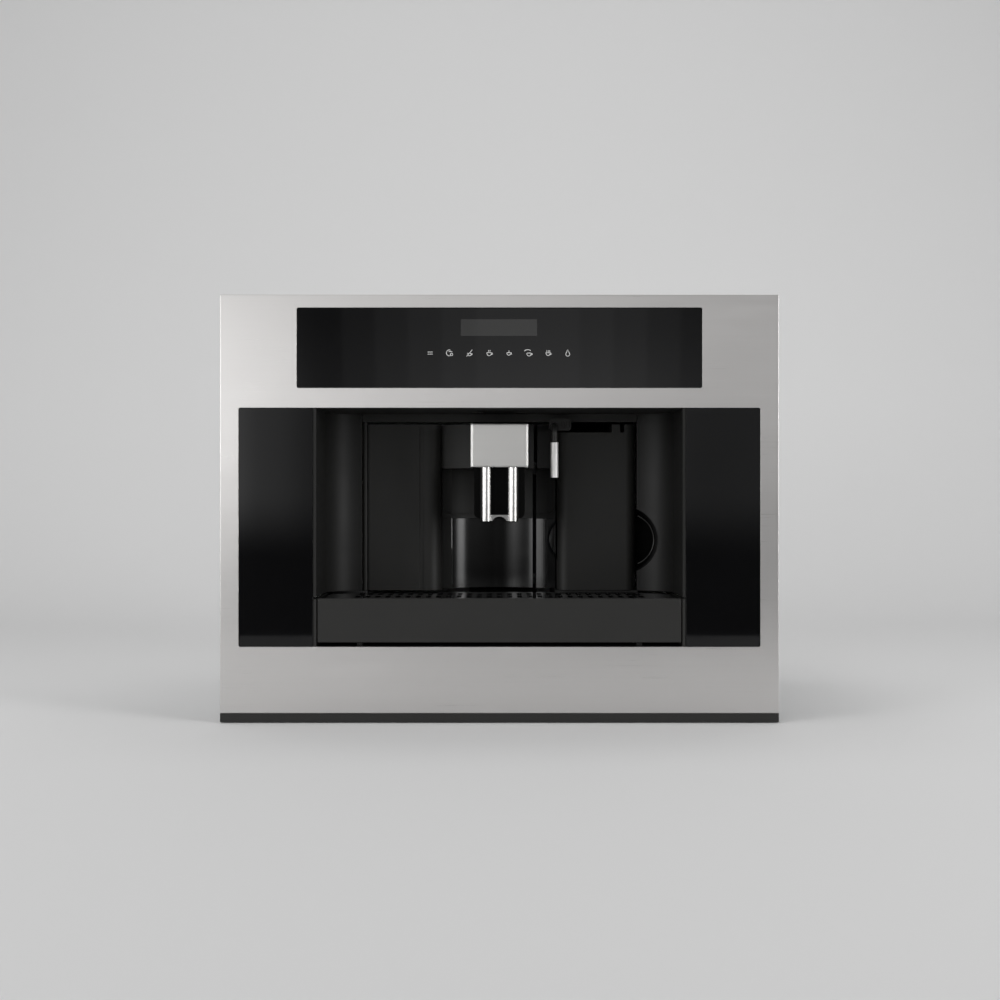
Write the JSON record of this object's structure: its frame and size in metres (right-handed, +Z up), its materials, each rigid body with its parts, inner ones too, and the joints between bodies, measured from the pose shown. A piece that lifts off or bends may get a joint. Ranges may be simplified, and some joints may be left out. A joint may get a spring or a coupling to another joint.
{
  "type": "built in coffee machine",
  "caption": "Built-in bean-to-cup coffee machine with steel front, service door, coffee spout, water tank, drip tray and slide-out runners.",
  "frame": {"origin": "middle of the footprint, on the shelf that the cradle is screwed to", "axes": "+Z up, -Y towards the user, +X to the user's right"},
  "size_m": [0.595, 0.398, 0.456],
  "materials": {
    "front_steel": "fine horizontal brushing",
    "sheet_steel": "galvanised sheet",
    "runner_steel": "zinc plated",
    "black_glass": "gloss black backed glass",
    "black_matte": "fine grained black moulding",
    "black_gloss": "gloss black moulding",
    "grey_plastic": "grey moulding",
    "satin_metal": "satin metal",
    "chrome_tube": "polished",
    "clear_plastic": "clear moulding, slight smoke tint",
    "smoke_plastic": "smoked clear moulding",
    "lamp_lens": "smoked frosted lens, unlit",
    "circuit_board": "circuit board",
    "cast_block": "die cast",
    "burr_steel": "hardened steel",
    "hose": "silicone hose",
    "white_plastic": "off-white moulding"
  },
  "bodies": {
    "cradle": {"cradle": "sheet_steel", "left_outer_runner": "runner_steel", "right_outer_runner": "runner_steel"},
    "chassis": {"left_inner_runner": "runner_steel", "right_inner_runner": "runner_steel", "base_pan": "sheet_steel", "left_side_panel": "sheet_steel", "right_side_panel": "sheet_steel", "top_cover": "sheet_steel", "rear_cover": "sheet_steel", "front_frame": "front_steel", "bottom_trim": "black_matte", "front_carrier": "black_matte", "control_glass": "black_glass", "display_module": "black_gloss", "control_board": "circuit_board", "left_glass_panel": "black_glass", "right_glass_panel": "black_glass", "left_recess_wall": "black_matte", "right_recess_wall": "black_matte", "recess_ceiling": "black_matte", "lamp_lenses": "lamp_lens", "tray_bay": "black_matte", "tank_bay": "black_matte", "niche_side_panel": "black_gloss", "door_hinges": "runner_steel", "brew_frame": "grey_plastic", "brew_motor": "grey_plastic", "boiler": "cast_block", "pump": "grey_plastic", "power_board": "circuit_board", "water_hoses": "hose", "bean_hopper": "smoke_plastic", "grinder_housing": "grey_plastic", "power_inlet": "black_matte"},
    "runner_middles": {"left_middle_runner": "runner_steel", "right_middle_runner": "runner_steel"},
    "service_door": {"door_panel": "black_matte", "niche_back": "black_matte", "niche_core": "black_gloss", "cross_housing": "black_matte", "spout_cover": "satin_metal"},
    "coffee_spout": {"spout_tubes": "chrome_tube", "spout_core": "black_gloss"},
    "grounds_box": {"grounds_container": "black_matte"},
    "tray_drawer": {"drip_tray": "black_matte", "tray_front": "black_matte", "tray_deck": "black_gloss"},
    "cup_grid": {"drip_grid": "black_gloss"},
    "tank": {"water_tank": "clear_plastic", "tank_fascia": "black_matte"},
    "tank_cap": {"tank_lid": "clear_plastic"},
    "hot_water_outlet": {"hot_water_spout": "chrome_tube", "hot_water_head": "black_matte"},
    "hopper_lid": {"bean_lid": "smoke_plastic"},
    "grind_dial": {"grind_knob": "black_matte"},
    "mains_switch": {"mains_rocker": "black_gloss"},
    "piston": {"brew_piston": "white_plastic"},
    "screw": {"lead_screw": "burr_steel"},
    "burr": {"cone_burr": "burr_steel"}
  },
  "joints": [
    {"name": "rail_slide", "type": "slide", "parent": "cradle", "child": "chassis", "axis": [0, -1, 0], "range_m": [0, 0.3]},
    {"name": "middle_slide", "type": "slide", "parent": "cradle", "child": "runner_middles", "axis": [0, -1, 0], "range_m": [0, 0.15]},
    {"name": "door_hinge", "type": "hinge", "parent": "chassis", "child": "service_door", "pos_m": [-0.1535, -0.0862, 0.229], "axis": [0, 0, -1], "range_deg": [0, 90]},
    {"name": "spout_slide", "type": "slide", "parent": "service_door", "child": "coffee_spout", "axis": [0, 0, -1], "range_m": [0, 0.03]},
    {"name": "grounds_box_lift", "type": "slide", "parent": "service_door", "child": "grounds_box", "axis": [0, 0, 1], "range_m": [0, 0.02]},
    {"name": "tray_slide", "type": "slide", "parent": "chassis", "child": "tray_drawer", "axis": [0, -1, 0], "range_m": [0, 0.3]},
    {"name": "grid_lift", "type": "slide", "parent": "tray_drawer", "child": "cup_grid", "axis": [0, 0, 1], "range_m": [0, 0.03]},
    {"name": "tank_slide", "type": "slide", "parent": "chassis", "child": "tank", "axis": [0, -1, 0], "range_m": [0, 0.288]},
    {"name": "tank_cap_lift", "type": "slide", "parent": "tank", "child": "tank_cap", "axis": [0, 0, 1], "range_m": [0, 0.012]},
    {"name": "hot_water_pull", "type": "slide", "parent": "chassis", "child": "hot_water_outlet", "axis": [0, -1, 0], "range_m": [0, 0.05]},
    {"name": "hopper_lid_hinge", "type": "hinge", "parent": "chassis", "child": "hopper_lid", "pos_m": [0.004, 0.12, 0.4514], "axis": [-1, 0, 0], "range_deg": [0, 95]},
    {"name": "grind_dial_turn", "type": "hinge", "parent": "chassis", "child": "grind_dial", "pos_m": [0.138, 0.032, 0.45], "axis": [0, 0, 1], "range_deg": [-120, 120]},
    {"name": "mains_switch_rock", "type": "hinge", "parent": "chassis", "child": "mains_switch", "pos_m": [-0.196, 0.188, 0.086], "axis": [1, 0, 0], "range_deg": [-6, 6]},
    {"name": "piston_slide", "type": "slide", "parent": "chassis", "child": "piston", "axis": [0, 0, 1], "range_m": [0, 0.04]},
    {"name": "screw_turn", "type": "hinge", "parent": "chassis", "child": "screw", "pos_m": [0.004, 0.059, 0.2], "axis": [0, 0, 1], "range_deg": [0, 1440]},
    {"name": "burr_spin", "type": "hinge", "parent": "chassis", "child": "burr", "pos_m": [0.004, 0.032, 0.34], "axis": [0, 0, 1], "continuous": true}
  ],
  "couplings": [
    {"joint": "middle_slide", "follows": "rail_slide", "ratio": 0.5},
    {"joint": "screw_turn", "follows": "piston_slide", "rad_per_m": 628.32}
  ]
}
